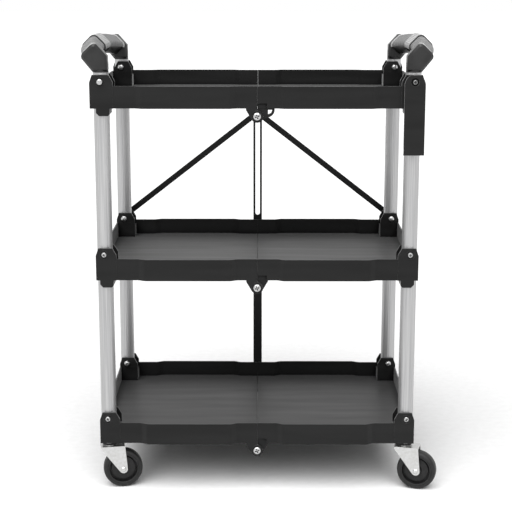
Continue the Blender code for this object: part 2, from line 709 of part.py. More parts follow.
def build_frames():
    """The legs, their plugs and the handles."""
    tube = leg()
    plug = leg_plug()
    corner = elbow()
    bar = grip()
    flip_x = Matrix.Scale(-1, 4, (1, 0, 0))
    flip_y = Matrix.Scale(-1, 4, (0, 1, 0))
    shoulder = LEVELS["top"] + ELBOW_RISE
    for side, sign in SIDES.items():
        bar_mesh = bar if side == "left" else moved(bar, flip_x)
        place(f"handle_grip_{side}", bar_mesh, GREY_RUBBER, (sign * LEG_X, 0.0, shoulder))
        for end, way in ENDS.items():
            spot = (sign * LEG_X, way * LEG_Y, 0.0)
            place(f"leg_{side}_{end}", tube, ALUMINIUM, spot)
            place(f"leg_plug_{side}_{end}", plug, BLACK_PLASTIC, spot)
            flips = ([flip_x] if side == "right" else []) + ([flip_y] if end == "rear" else [])
            elbow_mesh = moved(corner, *flips)
            place(f"handle_elbow_{side}_{end}", elbow_mesh, BLACK_PLASTIC, (spot[0], spot[1], shoulder))


def build_casters():
    """Four swivel casters, each turned the way it stands."""
    stem = caster_stem()
    fork = caster_fork()
    axle = along_y(caster_axle())
    wheel = along_y(caster_wheel())
    for (side, end), degrees in CASTER_TURNS.items():
        turn = radians(degrees)
        spot = (SIDES[side] * LEG_X, ENDS[end] * LEG_Y, 0.0)
        hub = (spot[0] + TRAIL * cos(turn), spot[1] + TRAIL * sin(turn), WHEEL_RADIUS)
        place(f"caster_stem_{side}_{end}", stem, ZINC, spot)
        place(f"caster_fork_{side}_{end}", fork, ZINC, spot, turn)
        place(f"caster_axle_{side}_{end}", axle, ZINC, hub, turn)
        place(f"caster_wheel_{side}_{end}", wheel, WHEEL_BLACK, hub, turn)


def build_shelves():
    """Six half trays on their leg pivots."""
    flip_x = Matrix.Scale(-1, 4, (1, 0, 0))
    for side, sign in SIDES.items():
        for level, height in LEVELS.items():
            tray = half_tray(side, level)
            if sign < 0:
                tray = moved(tray, flip_x)
            tray = moved(tray, Matrix.Translation((-sign * LEG_X, 0.0, 0.0)))
            place(f"shelf_{level}_{side}", tray, BLACK_PLASTIC, (sign * LEG_X, 0.0, height))


def build_bolts():
    """Twelve leg pivots and six centre hinges."""
    plain = pivot_bolt(EAR_OUT + GAP, BOLT_HEAD)
    latch_face = LATCH_Y[1] - 0.0031 - LEG_Y
    special = {
        ("top", "left", "front"): stud_bolt(),
        ("top", "right", "front"): pivot_bolt(latch_face, BOLT_HEAD),
    }
    for side in SIDES:
        near = BRACE_Y[side][0] - GAP - LEG_Y
        special[("middle", side, "rear")] = pivot_bolt(near, 0.0065, collar=near, cap=False)
    for level, height in LEVELS.items():
        for side, sign in SIDES.items():
            for end, way in ENDS.items():
                mesh = special.get((level, side, end), plain)
                spot = (sign * LEG_X, way * LEG_Y, height)
                place(f"pivot_bolt_{level}_{side}_{end}", along_y(mesh, way), BRIGHT_STEEL, spot)
    bars = {
        "top": SPINE_UPPER_Y,
        "middle": (SPINE_UPPER_Y[0], SPINE_LOWER_Y[1]),
        "bottom": SPINE_LOWER_Y,
    }
    for level, height in LEVELS.items():
        spot = (0.0, 0.0, height - HINGE_DROP)
        place(f"hinge_bolt_{level}_front", along_y(hinge_bolt(None), -1), BRIGHT_STEEL, spot)
        place(f"hinge_bolt_{level}_rear", along_y(hinge_bolt(bars[level])), BRIGHT_STEEL, spot)


def build_linkage():
    """The spine bars, the braces, their sliding pin and the latch."""
    place("spine_bar_upper", spine_upper(), BLACK_STEEL, (0.0, 0.0, LEVELS["middle"] - HINGE_DROP))
    place("spine_bar_lower", spine_lower(), BLACK_STEEL, (0.0, 0.0, LEVELS["bottom"] - HINGE_DROP))
    for side in SIDES:
        place(f"brace_{side}", brace(side), BLACK_STEEL, (0.0, 0.0, PIN_Z))
    place("brace_pin", along_y(brace_pin()), BLACK_STEEL, (0.0, 0.0, PIN_Z))
    place("latch", latch(), BLACK_PLASTIC, (LEG_X, 0.0, LEVELS["top"]))


def finish_shading():
    """Round pieces shade smooth, with sharp edges where they turn hard."""
    for mesh in {part.data for part in PARTS.objects}:
        mesh.shade_smooth()
        mesh.set_sharp_from_angle(angle=radians(35))


for stale in list(bpy.data.objects):
    bpy.data.objects.remove(stale, do_unlink=True)
PARTS = new_collection("folding_service_cart")
CART = bpy.data.objects.new("cart", None)
bpy.context.scene.collection.objects.link(CART)

BLACK_PLASTIC = make_material("black_polypropylene", (0.022, 0.022, 0.023), 0.45)
ALUMINIUM = make_material("satin_aluminium", (0.62, 0.62, 0.63), 0.35, 1.0)
GREY_RUBBER = make_material("grey_soft_grip", (0.26, 0.26, 0.26), 0.75)
ZINC = make_material("bright_zinc", (0.66, 0.66, 0.65), 0.30, 1.0)
BRIGHT_STEEL = make_material("bright_steel", (0.75, 0.75, 0.75), 0.22, 1.0)
BLACK_STEEL = make_material("black_coated_steel", (0.020, 0.020, 0.021), 0.40)
WHEEL_BLACK = make_material("black_wheel_rubber", (0.020, 0.020, 0.020), 0.60)

build_frames()
build_casters()
build_shelves()
build_bolts()
build_linkage()
finish_shading()
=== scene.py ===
"""Looks for a three-shelf folding service cart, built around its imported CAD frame.

Moulded black shelves in two hinged halves, fluted aluminium legs, soft handle
grips and four swivel casters, in a plain pale studio.
"""

import json
import math

import bmesh
import bpy
from mathutils import Matrix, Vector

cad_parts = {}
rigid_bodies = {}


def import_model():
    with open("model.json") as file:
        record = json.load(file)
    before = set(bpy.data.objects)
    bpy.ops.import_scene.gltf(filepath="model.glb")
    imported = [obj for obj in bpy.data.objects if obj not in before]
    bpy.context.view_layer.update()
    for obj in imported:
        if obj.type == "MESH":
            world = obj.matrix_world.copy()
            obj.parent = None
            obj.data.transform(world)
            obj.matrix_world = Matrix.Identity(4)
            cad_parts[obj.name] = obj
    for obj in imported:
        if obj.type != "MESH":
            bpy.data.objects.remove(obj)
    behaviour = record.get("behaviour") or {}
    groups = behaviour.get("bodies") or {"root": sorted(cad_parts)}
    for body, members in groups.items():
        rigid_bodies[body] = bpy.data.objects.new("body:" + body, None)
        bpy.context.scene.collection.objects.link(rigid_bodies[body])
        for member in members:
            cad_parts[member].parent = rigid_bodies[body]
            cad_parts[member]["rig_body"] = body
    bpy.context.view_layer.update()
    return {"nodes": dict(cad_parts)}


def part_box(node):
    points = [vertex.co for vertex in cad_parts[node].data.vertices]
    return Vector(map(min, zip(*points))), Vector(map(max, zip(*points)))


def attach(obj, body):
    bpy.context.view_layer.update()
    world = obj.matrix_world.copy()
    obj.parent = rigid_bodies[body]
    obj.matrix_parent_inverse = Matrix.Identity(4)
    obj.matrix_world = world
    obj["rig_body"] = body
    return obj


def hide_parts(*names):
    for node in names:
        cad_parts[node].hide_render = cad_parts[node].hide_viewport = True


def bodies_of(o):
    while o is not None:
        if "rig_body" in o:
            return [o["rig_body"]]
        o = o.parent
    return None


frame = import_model()

# The photograph's view, with lengths in metres, angles in degrees and the lens in millimetres
CAMERA_PLACE = (0.0071, -2.7039, 1.0136)
CAMERA_PITCH = 12.152
CAMERA_YAW = 0.2117
CAMERA_LENS = 93.42
CAMERA_SENSOR = 36

# Studio
FLOOR_HALF = 30.0
SKY_LIGHT = 0.3
LAMP_POWER = 3.7
LAMP_WIDTH = 70
LAMP_TURN = (34, 0, -12)

# Sizes that the pieces share with the frame, in metres
LEG_X = 0.2940
LEG_Y = 0.1905
LEG_RADIUS = 0.015
LEG_WALL = 0.002
SIDES = {"left": -1, "right": 1}
ENDS = {"front": -1, "rear": 1}
LEVELS = {"bottom": 0.1475, "middle": 0.4785, "top": 0.8095}
EAR_FACE = 0.2100
HINGE_DROP = 0.065
SHOULDER = 0.8260
TRAY_WALL = (0.2067, 0.2097)
TRAY_FLOOR = (-0.0435, -0.0405)
CASTER_TURNS = {
    ("left", "front"): 10,
    ("right", "front"): -15,
    ("left", "rear"): 12,
    ("right", "rear"): -50,
}

# Merging and rounding of the copies of the frame's nodes
MERGE = 0.00035
FLAT_ANGLE = 1
SHADED_ANGLE = 50
TRAY_EDGE = 0.0009
MOULDED_EDGE = 0.0012
ELBOW_EDGE = 0.0020
PRESSED_EDGE = 0.0006
BAR_EDGE = 0.0004

# Legs: two corners of every eight round the ring are drawn in
LEG_RING = 96
FLUTE_PITCH = 8
FLUTE_CORNERS = (0, 1)
FLUTE_SCALE = 0.984

# Lips in the seams of the shelves: heights from the shelf's pivots, the drop from the tray's floor
SEAM_LIP_X = -0.00009
SEAM_LIP_WIDTH = 0.001275
SEAM_LIP_RISE = (-0.0524, -0.0089)
SEAM_LIP_DROP = 0.0014
SEAM_LIP_GAP = 0.0005
SEAM_LIP_EDGE = 0.0002

# Bolts, with lengths along the shank; a nut is its radius and height
TURNED_MERGE = 0.00001
BOLT_SIDES = 28
SHANK = 0.004
NUT = (0.0060, 0.0060)
HINGE_NUT = (0.0062, 0.0048)
HEAD_HEIGHT = 0.0036
PIVOT_HEAD = 0.0053
HINGE_HEAD = 0.0074

# The dimple in the tip, as a share of the nut's radius and a depth
DIMPLE = (0.40, 0.0014)

# The nut's outline, as shares of its radius and of its height
NUT_OUTLINE = ((0.46, 0.0), (0.8, 0.12), (1.0, 0.4), (1.0, 1.0))

# The head's outline, as shares of its radius and rises over its underside
HEAD_OUTLINE = ((1.0, 0.0), (1.0, 0.0009), (0.94, 0.0021), (0.76, 0.0031), (0.4, HEAD_HEIGHT))

# The crossed recess, its arms as shares of the head's radius
RECESS_LENGTH = 1.2
RECESS_WIDTH = 0.32
RECESS_DEPTH = 0.00306
RECESS_TURN = 20

# The rims round the bolts
RIM_RADII = (0.0072, 0.0077, 0.0084, 0.0089)
RIM_HEIGHT = 0.0006
RIM_SIDES = 40
WIDE_RIM = 1.28

# Half a wheel's section from its bore outwards, as radius and distance from the middle plane
WHEEL_HUB = ((0.0045, 0.0130), (0.0092, 0.0130), (0.0102, 0.0122))
WHEEL_WEB = ((0.0112, 0.0065), (0.0150, 0.0052), (0.0234, 0.0050), (0.0238, 0.0046))
WHEEL_GROOVE = ((0.0243, 0.0012), (0.0274, 0.0012))
WHEEL_RIM = ((0.0280, 0.0114), (0.0284, 0.0118), (0.0306, 0.0120), (0.0310, 0.0115))
WHEEL_TYRE = ((0.0314, 0.0120), (0.0345, 0.0118), (0.0366, 0.0108), (0.0381, 0.0088), (0.0388, 0.0055))
WHEEL_CROWN = (0.0391, 0.0)
WHEEL_SIDES = 64

# Handle grips: the section is a square on its corner, rounded, and scales are shares of it
GRIP_REACH = 0.1752
GRIP_CENTRE = (0.0130, 0.0300)
GRIP_BOW = (0.0170, 0.0085)
BOW_POWER = 3.0
GRIP_CORNER = 0.0252
GRIP_ROUND = 0.0098
CORE_SCALE = 0.92
CORE_STEPS = 16
BAND_REACH = 0.040
BAND_SCALE = 1.14
BAND_STEPS = 12
GROOVE = 0.0055
COLLAR_SCALE = 1.12
COLLAR_INSET = 0.0004
COLLAR_SLOPE = 0.0003
SLEEVE_SCALE = 1.0
SLEEVE_STEPS = 20
SLEEVE_WALL = 0.0026
SLEEVE_EDGE = 0.0005
SLEEVE_GAP = 0.0002
LIP = (0.0058, 0.0006)
LIP_SCALE = 1.07
LIP_STEPS = 2
UNDERSIDE = -0.35
END_FACE = 0.9

# The stretch of a noise's values over which colour and roughness change
COLOUR_SPAN = (0.35, 0.65)
ROUGH_SPAN = (0.3, 0.7)


def linear(code):
    """Turns an sRGB hex colour into the linear colour that a shader takes."""
    channels = [int(code[i:i + 2], 16) / 255 for i in (1, 3, 5)]
    curve = [c / 12.92 if c <= 0.04045 else ((c + 0.055) / 1.055) ** 2.4 for c in channels]
    return (*curve, 1.0)


def add_node(tree, kind, settings=None, links=None, stops=()):
    """Adds one shader node. Settings that name a socket set it, others set the node itself.

    Links lead to sockets by name or by number. Stops are a colour ramp's (place, hex colour) pairs.
    """
    node = tree.nodes.new(kind)
    for name, value in (settings or {}).items():
        if name in node.inputs:
            node.inputs[name].default_value = value
        else:
            setattr(node, name, value)
    for socket, source in (links or {}).items():
        tree.links.new(source, node.inputs[socket])
    for index, (place, code) in enumerate(stops):
        node.color_ramp.elements[index].color = linear(code)
        node.color_ramp.elements[index].position = place
    return node


def new_material(name):
    """A material with its emptied node tree, and the place on the object that its patterns read."""
    material = bpy.data.materials.new(name)
    material.use_nodes = True
    tree = material.node_tree
    tree.nodes.clear()
    place = add_node(tree, "ShaderNodeTexCoord").outputs["Object"]
    return material, tree, place


def varied(tree, pattern, colours, roughness):
    """A colour between two hex codes and a roughness between two numbers, which both follow a pattern."""
    low, high = colours
    colour = add_node(tree, "ShaderNodeValToRGB", links={"Fac": pattern},
                      stops=((COLOUR_SPAN[0], low), (COLOUR_SPAN[1], high)))
    rough = add_node(tree, "ShaderNodeMapRange",
                     {"From Min": ROUGH_SPAN[0], "From Max": ROUGH_SPAN[1],
                      "To Min": roughness[0], "To Max": roughness[1]}, {"Value": pattern})
    return colour.outputs["Color"], rough.outputs["Result"]


def painted_hollow_shade(tree, colour, value, stops):
    """A colour times a grey ramp over a value: painted shade that darkens the hollows."""
    shadow = add_node(tree, "ShaderNodeValToRGB", links={"Fac": value}, stops=stops)
    product = add_node(tree, "ShaderNodeMixRGB", {"blend_type": "MULTIPLY", "Fac": 1.0},
                       {"Color1": colour, "Color2": shadow.outputs["Color"]})
    return product.outputs["Color"]


def shade(tree, settings, colour, roughness, height, strength, distance):
    """The Principled shader with its colour, its roughness and a bump from a height, as the output."""
    bump = add_node(tree, "ShaderNodeBump", {"Strength": strength, "Distance": distance}, {"Height": height})
    shader = add_node(tree, "ShaderNodeBsdfPrincipled", settings,
                      {"Base Color": colour, "Roughness": roughness, "Normal": bump.outputs["Normal"]})
    add_node(tree, "ShaderNodeOutputMaterial", links={"Surface": shader.outputs["BSDF"]})


def moulded_polypropylene():
    """Injection-moulded black polypropylene: a spark-eroded grain that breaks the sheen up softly."""
    material, tree, place = new_material("moulded black polypropylene")
    # 1.2 mm grain, coarser than the real 0.2 mm so that it still shows
    grain = add_node(tree, "ShaderNodeTexNoise", {"Scale": 850.0, "Detail": 3.0}, {"Vector": place})
    # wear marks some 200 mm long and 22 mm wide
    along = add_node(tree, "ShaderNodeMapping", {"Scale": (5.0, 45.0, 45.0)}, {"Vector": place})
    flow = add_node(tree, "ShaderNodeTexNoise", {"Scale": 1.0, "Detail": 5.0},
                    {"Vector": along.outputs["Vector"]})
    worn, polish = varied(tree, flow.outputs["Fac"], ("#0d0d0d", "#151515"), (0.36, 0.50))
    # painted shade: corners and hollows are darkened by the ambient occlusion, and also made duller (rougher)
    hollow = add_node(tree, "ShaderNodeAmbientOcclusion",
                      {"samples": 8, "only_local": True, "Distance": 0.018})
    colour = painted_hollow_shade(tree, worn, hollow.outputs["AO"], ((0.55, "#303030"), (0.95, "#ffffff")))
    dull = add_node(tree, "ShaderNodeMapRange",
                    {"From Min": 0.55, "From Max": 0.95, "To Min": 0.40, "To Max": 0.0},
                    {"Value": hollow.outputs["AO"]})
    rough = add_node(tree, "ShaderNodeMath", {"operation": "ADD"}, {0: polish, 1: dull.outputs["Result"]})
    shade(tree, {"IOR": 1.29, "Sheen Weight": 0.4, "Sheen Roughness": 0.4}, colour, rough.outputs["Value"],
          grain.outputs["Fac"], 0.10, 0.0003)
    return material


def moulded_nylon():
    """Moulded black nylon of the elbows: smoother than the shelves, so edges catch a soft light."""
    material, tree, place = new_material("moulded black nylon")
    # 1.4 mm grain, coarser than the real one so that it still shows, and flow marks 25 mm across
    grain = add_node(tree, "ShaderNodeTexNoise", {"Scale": 700.0, "Detail": 2.0}, {"Vector": place})
    flow = add_node(tree, "ShaderNodeTexNoise", {"Scale": 40.0, "Detail": 3.0}, {"Vector": place})
    colour, rough = varied(tree, flow.outputs["Fac"], ("#151515", "#202020"), (0.30, 0.42))
    shade(tree, {"IOR": 1.45}, colour, rough, grain.outputs["Fac"], 0.14, 0.0003)
    return material


def anodised_aluminium():
    """Extruded aluminium with a satin anodised skin: fine draw lines up its length and a milky shine."""
    material, tree, place = new_material("satin anodised aluminium")
    # draw lines 1.5 mm apart round the tube and some 170 mm long
    along = add_node(tree, "ShaderNodeMapping", {"Scale": (650.0, 650.0, 6.0)}, {"Vector": place})
    lines = add_node(tree, "ShaderNodeTexNoise", {"Scale": 1.0, "Detail": 2.0},
                     {"Vector": along.outputs["Vector"]})
    colour, rough = varied(tree, lines.outputs["Fac"], ("#a6a6a7", "#bcbcbc"), (0.42, 0.50))
    shade(tree, {"Metallic": 1.0}, colour, rough, lines.outputs["Fac"], 0.12, 0.0002)
    return material


def thermoplastic_rubber(name, low, high):
    """Moulded thermoplastic rubber of the grips: matt, with fine raised dots."""
    material, tree, place = new_material(name)
    # raised dots and flecks, both 2.4 mm apart
    dots = add_node(tree, "ShaderNodeTexVoronoi", {"Scale": 420.0, "Randomness": 0.3}, {"Vector": place})
    fleck = add_node(tree, "ShaderNodeTexNoise", {"Scale": 420.0, "Detail": 3.0}, {"Vector": place})
    worn, rough = varied(tree, fleck.outputs["Fac"], (low, high), (0.62, 0.78))
    # painted shade: the hollows between the dots are darkened
    colour = painted_hollow_shade(tree, worn, dots.outputs["Distance"], ((0.25, "#ffffff"), (0.65, "#b0b0b0")))
    # the distance is shortest at a dot's middle, so the bump is turned over to raise the dot
    shade(tree, {"IOR": 1.5}, colour, rough, dots.outputs["Distance"], 0.5, -0.0006)
    return material


def zinc_plate():
    """Pressed steel with bright zinc plate: pale, slightly mottled, with a broad shine."""
    material, tree, place = new_material("bright zinc plated steel")
    # mottling some 5 mm across
    mottle = add_node(tree, "ShaderNodeTexNoise", {"Scale": 210.0, "Detail": 4.0}, {"Vector": place})
    colour, rough = varied(tree, mottle.outputs["Fac"], ("#c2c2c0", "#cecece"), (0.32, 0.38))
    shade(tree, {"Metallic": 1.0}, colour, rough, mottle.outputs["Fac"], 0.06, 0.0003)
    return material


def headed_steel(name, low, high):
    """Cold-headed steel of the bolts, with small tool marks."""
    material, tree, place = new_material(name)
    # tool marks 1.1 mm across
    marks = add_node(tree, "ShaderNodeTexNoise", {"Scale": 900.0, "Detail": 3.0}, {"Vector": place})
    plain, rough = varied(tree, marks.outputs["Fac"], (low, high), (0.20, 0.32))
    # painted shade: the recess and the foot of the head are darkened by the ambient occlusion
    hollow = add_node(tree, "ShaderNodeAmbientOcclusion",
                      {"samples": 8, "only_local": True, "Distance": 0.004})
    colour = painted_hollow_shade(tree, plain, hollow.outputs["AO"], ((0.35, "#141414"), (0.75, "#ffffff")))
    shade(tree, {"Metallic": 1.0}, colour, rough, marks.outputs["Fac"], 0.08, 0.0002)
    return material


def powder_coat():
    """Powder-coated steel bars: black, with the soft ripple of a baked coat."""
    material, tree, place = new_material("black powder coated steel")
    # ripple 2 mm across
    ripple = add_node(tree, "ShaderNodeTexNoise", {"Scale": 520.0, "Detail": 2.0}, {"Vector": place})
    colour, rough = varied(tree, ripple.outputs["Fac"], ("#080808", "#0e0e0e"), (0.36, 0.46))
    shade(tree, {"IOR": 1.33}, colour, rough, ripple.outputs["Fac"], 0.18, 0.0003)
    return material


def wheel_rubber():
    """Moulded wheel rubber: matt black, a little paler where it has rolled."""
    material, tree, place = new_material("moulded black wheel rubber")
    # scuffs 8 mm across and 1 mm grain
    scuff = add_node(tree, "ShaderNodeTexNoise", {"Scale": 120.0, "Detail": 5.0}, {"Vector": place})
    grain = add_node(tree, "ShaderNodeTexNoise", {"Scale": 1000.0, "Detail": 2.0}, {"Vector": place})
    colour, rough = varied(tree, scuff.outputs["Fac"], ("#111111", "#1f1f1f"), (0.45, 0.60))
    shade(tree, {"IOR": 1.4}, colour, rough, grain.outputs["Fac"], 0.20, 0.0003)
    return material


POLYPROPYLENE = moulded_polypropylene()
NYLON = moulded_nylon()
ALUMINIUM = anodised_aluminium()
SOFT_GRIP = thermoplastic_rubber("moulded grey thermoplastic rubber", "#888888", "#a6a6a6")
# a paler copy of the grip rubber: painted light on the raised band, which faces up; the lips at the grip's
# ends take it too
GRIP_PAINTED_LIGHTER = thermoplastic_rubber("moulded grey thermoplastic rubber painted lighter", "#cccccc", "#e4e4e4")
ZINC = zinc_plate()
STEEL = headed_steel("cold-headed bright steel", "#a4a4a4", "#d0d0d0")
DULL_STEEL = headed_steel("cold-headed dull steel", "#6c6c6c", "#949494")
COATED = powder_coat()
RUBBER = wheel_rubber()

FINISHES = {
    "shelf": POLYPROPYLENE,
    "handle_elbow": NYLON,
    "leg_plug": POLYPROPYLENE,
    "leg": ALUMINIUM,
    "handle_grip": SOFT_GRIP,
    "pivot_bolt": STEEL,
    "hinge_bolt": STEEL,
    "spine": COATED,
    "brace": COATED,
    "latch": POLYPROPYLENE,
    "caster_stem": ZINC,
    "caster_fork": ZINC,
    "caster_axle": ZINC,
    "caster_wheel": RUBBER,
}


def finish_of(node):
    """The material for a CAD node, by how its name starts."""
    return FINISHES[max((start for start in FINISHES if node.startswith(start)), key=len)]


def body_of(node):
    """The body that a CAD node rides on."""
    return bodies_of(frame["nodes"][node])[0]


def make_active(piece):
    """Selects one object alone."""
    bpy.ops.object.select_all(action="DESELECT")
    piece.select_set(True)
    bpy.context.view_layer.objects.active = piece


def settle(piece, matrix=None):
    """Applies an object's place to its mesh, and then moves the mesh by a matrix."""
    make_active(piece)
    bpy.ops.object.transform_apply(location=True, rotation=True, scale=True)
    if matrix is not None:
        piece.data.transform(matrix)
        if matrix.is_negative:
            piece.data.flip_normals()
    return piece


def twin(piece, matrix):
    """A copy with its own mesh, moved by a matrix."""
    copy = piece.copy()
    copy.data = piece.data.copy()
    bpy.context.scene.collection.objects.link(copy)
    return settle(copy, matrix)


def deliver(piece, name, material, body, *nodes):
    """Names a finished piece, dresses it and sets it on its body, in place of CAD nodes."""
    piece.name = name
    piece.data.name = name
    piece.data.materials.clear()
    piece.data.materials.append(material)
    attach(piece, body)
    if nodes:
        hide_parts(*nodes)


def stand_in(piece, word, node, material=None):
    """Delivers a piece in place of one CAD node, on its body, with the node's name after a word."""
    deliver(piece, f"{word}_{node}", material or finish_of(node), body_of(node), node)


def apply_all(piece):
    """Applies every modifier in turn."""
    make_active(piece)
    for modifier in list(piece.modifiers):
        bpy.ops.object.modifier_apply(modifier=modifier.name)


def round_edges(piece, width, steps=2, angle=30):
    """Rounds the edges that turn more than an angle, and keeps the flat faces flat to the light."""
    bevel = piece.modifiers.new("rounded edges", "BEVEL")
    bevel.width = width
    bevel.segments = steps
    bevel.limit_method = "ANGLE"
    bevel.angle_limit = math.radians(angle)
    apply_all(piece)
    bpy.ops.object.shade_smooth_by_angle(angle=math.radians(SHADED_ANGLE))
    piece.modifiers.new("flat faces", "WEIGHTED_NORMAL").keep_sharp = True
    apply_all(piece)
    return piece


def softened(node, width, steps=2):
    """A copy of a CAD node's mesh, merged, with its edges rounded."""
    piece = bpy.data.objects.new("copy", frame["nodes"][node].data.copy())
    bpy.context.scene.collection.objects.link(piece)
    make_active(piece)
    bpy.ops.object.mode_set(mode="EDIT")
    bpy.ops.mesh.select_all(action="SELECT")
    bpy.ops.mesh.remove_doubles(threshold=MERGE)
    bpy.ops.mesh.dissolve_limited(angle_limit=math.radians(FLAT_ANGLE))
    bpy.ops.mesh.normals_make_consistent(inside=False)
    bpy.ops.object.mode_set(mode="OBJECT")
    return round_edges(piece, width, steps)


def smooth(piece, angle):
    """Shades a piece smooth where it turns less than an angle."""
    make_active(piece)
    bpy.ops.object.shade_smooth_by_angle(angle=math.radians(angle))
    return piece


def thickened(piece, thickness):
    """Gives an open skin a wall that grows inwards."""
    wall = piece.modifiers.new("wall", "SOLIDIFY")
    wall.thickness = thickness
    wall.offset = -1
    apply_all(piece)
    return piece


def lathe(profile, sides, bored=False):
    """A turned shape about Z: a ring of the first (radius, height), drawn out and scaled to each next one."""
    radius, height = profile[0]
    bpy.ops.mesh.primitive_circle_add(vertices=sides, radius=radius, location=(0, 0, height))
    piece = bpy.context.object
    bpy.ops.object.mode_set(mode="EDIT")
    bpy.ops.mesh.select_all(action="SELECT")
    for reach, level in profile[1:] + ([profile[0]] if bored else []):
        bpy.ops.mesh.extrude_region_move(TRANSFORM_OT_translate={"value": (0, 0, level - height)})
        bpy.ops.transform.resize(value=(reach / radius, reach / radius, 1))
        radius, height = reach, level
    bpy.ops.mesh.select_all(action="SELECT")
    bpy.ops.mesh.remove_doubles(threshold=TURNED_MERGE)
    if not bored:
        bpy.ops.mesh.fill_holes(sides=0)
    bpy.ops.mesh.normals_make_consistent(inside=False)
    bpy.ops.object.mode_set(mode="OBJECT")
    return settle(piece)


def along_y(way):
    """Turns what points up Z to point along Y, forwards (-1) or back (1)."""
    return Matrix.Rotation(-way * math.pi / 2, 4, "X")


def leg_tube():
    """A fluted tube: a ring with pairs of its corners drawn in, pulled up, and given its wall."""
    low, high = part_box("leg_left_front")
    bpy.ops.mesh.primitive_circle_add(vertices=LEG_RING, radius=LEG_RADIUS, location=(0, 0, low.z))
    piece = bpy.context.object
    bpy.ops.object.mode_set(mode="EDIT")
    bpy.ops.mesh.select_mode(type="VERT")
    bpy.ops.mesh.select_all(action="DESELECT")
    ring = bmesh.from_edit_mesh(piece.data)
    for corner in ring.verts:
        corner.select_set(corner.index % FLUTE_PITCH in FLUTE_CORNERS)
    ring.select_flush_mode()
    bmesh.update_edit_mesh(piece.data)
    bpy.ops.transform.resize(value=(FLUTE_SCALE, FLUTE_SCALE, 1))
    bpy.ops.mesh.select_all(action="SELECT")
    bpy.ops.mesh.extrude_region_move(TRANSFORM_OT_translate={"value": (0, 0, high.z - low.z)})
    bpy.ops.mesh.select_all(action="SELECT")
    bpy.ops.mesh.normals_make_consistent(inside=False)
    bpy.ops.object.mode_set(mode="OBJECT")
    return smooth(thickened(settle(piece), LEG_WALL), 12)


def bolt(length, head, nut):
    """A bolt from its nut's tip at zero up to its head, with a crossed recess."""
    radius, tall = nut
    under = length - HEAD_HEIGHT
    profile = [(radius * DIMPLE[0], DIMPLE[1])]
    profile += [(radius * share, tall * rise) for share, rise in NUT_OUTLINE]
    profile += [(SHANK, tall), (SHANK, under)]
    profile += [(head * share, under + rise) for share, rise in HEAD_OUTLINE]
    piece = lathe(profile, BOLT_SIDES)
    arm = (head * RECESS_LENGTH, head * RECESS_WIDTH, 2 * RECESS_DEPTH)
    for turn in (RECESS_TURN, RECESS_TURN + 90):
        bpy.ops.mesh.primitive_cube_add(size=1, location=(0, 0, length),
                                        rotation=(0, 0, math.radians(turn)), scale=arm)
        cross = bpy.context.object
        cut = piece.modifiers.new("recess", "BOOLEAN")
        cut.operation = "DIFFERENCE"
        cut.solver = "EXACT"
        cut.object = cross
        apply_all(piece)
        bpy.data.objects.remove(cross)
    return smooth(piece, 30)


def bolt_rim(scale):
    """The low raised rim that stands round a bolt on a moulded ear, set a little into it."""
    inner, crest, edge, outer = (radius * scale for radius in RIM_RADII)
    piece = lathe([(inner, -RIM_HEIGHT), (inner, 0.0), (crest, RIM_HEIGHT), (edge, RIM_HEIGHT),
                   (outer, 0.0), (outer, -RIM_HEIGHT)], RIM_SIDES, bored=True)
    return smooth(piece, 20)


def caster_wheel():
    """A moulded wheel: crowned tread, rounded tyre, a fine line, a deep groove, a dished web and a hub."""
    half = [*WHEEL_HUB, *WHEEL_WEB, *WHEEL_GROOVE, *WHEEL_RIM, *WHEEL_TYRE]
    profile = half + [WHEEL_CROWN] + [(radius, -distance) for radius, distance in reversed(half)]
    return smooth(lathe(profile, WHEEL_SIDES, bored=True), 28)


def grip_path(along):
    """Where the grip's middle lies at a distance from the middle plane: outwards and up."""
    share = 1.0 - abs(along / GRIP_REACH) ** BOW_POWER
    return GRIP_CENTRE[0] + GRIP_BOW[0] * share, GRIP_CENTRE[1] + GRIP_BOW[1] * share


def grip_bar(stations):
    """A closed bar through (distance, scale) stations: a square with rounded corners, drawn along the bow."""
    along, size = stations[0]
    out, up = grip_path(along)
    bpy.ops.mesh.primitive_circle_add(vertices=4, radius=GRIP_CORNER, location=(out, up, along))
    piece = bpy.context.object
    bpy.ops.object.mode_set(mode="EDIT")
    bpy.ops.mesh.select_all(action="SELECT")
    bpy.ops.mesh.bevel(offset=GRIP_ROUND, segments=5, affect="VERTICES")
    bpy.ops.mesh.select_all(action="SELECT")
    bpy.ops.transform.resize(value=(size, size, 1))
    for following, scale in stations[1:]:
        across, above = grip_path(following)
        step = (across - out, above - up, following - along)
        bpy.ops.mesh.extrude_region_move(TRANSFORM_OT_translate={"value": step})
        bpy.ops.transform.resize(value=(scale / size, scale / size, 1))
        along, size, out, up = following, scale, across, above
    bpy.ops.mesh.select_all(action="SELECT")
    bpy.ops.mesh.fill_holes(sides=0)
    bpy.ops.mesh.normals_make_consistent(inside=False)
    bpy.ops.object.mode_set(mode="OBJECT")
    return settle(piece, Matrix.Rotation(math.pi / 2, 4, "X"))


def even_stations(start, end, scale, steps):
    """Evenly spaced stations at one scale."""
    return [(start + (end - start) * step / steps, scale) for step in range(steps + 1)]


def grip_core():
    """The black moulded bar under the grip's sleeves, with a collar at each end of the band."""
    foot = BAND_REACH + GROOVE - COLLAR_INSET
    top = BAND_REACH + COLLAR_INSET
    half = even_stations(-GRIP_REACH, -foot, CORE_SCALE, CORE_STEPS)
    half += [(-foot + COLLAR_SLOPE, COLLAR_SCALE), (-top - COLLAR_SLOPE, COLLAR_SCALE), (-top, CORE_SCALE)]
    middle = even_stations(-BAND_REACH, BAND_REACH, CORE_SCALE, BAND_STEPS)
    other_half = [(-along, scale) for along, scale in reversed(half)]
    return smooth(grip_bar(half + middle + other_half), 35)


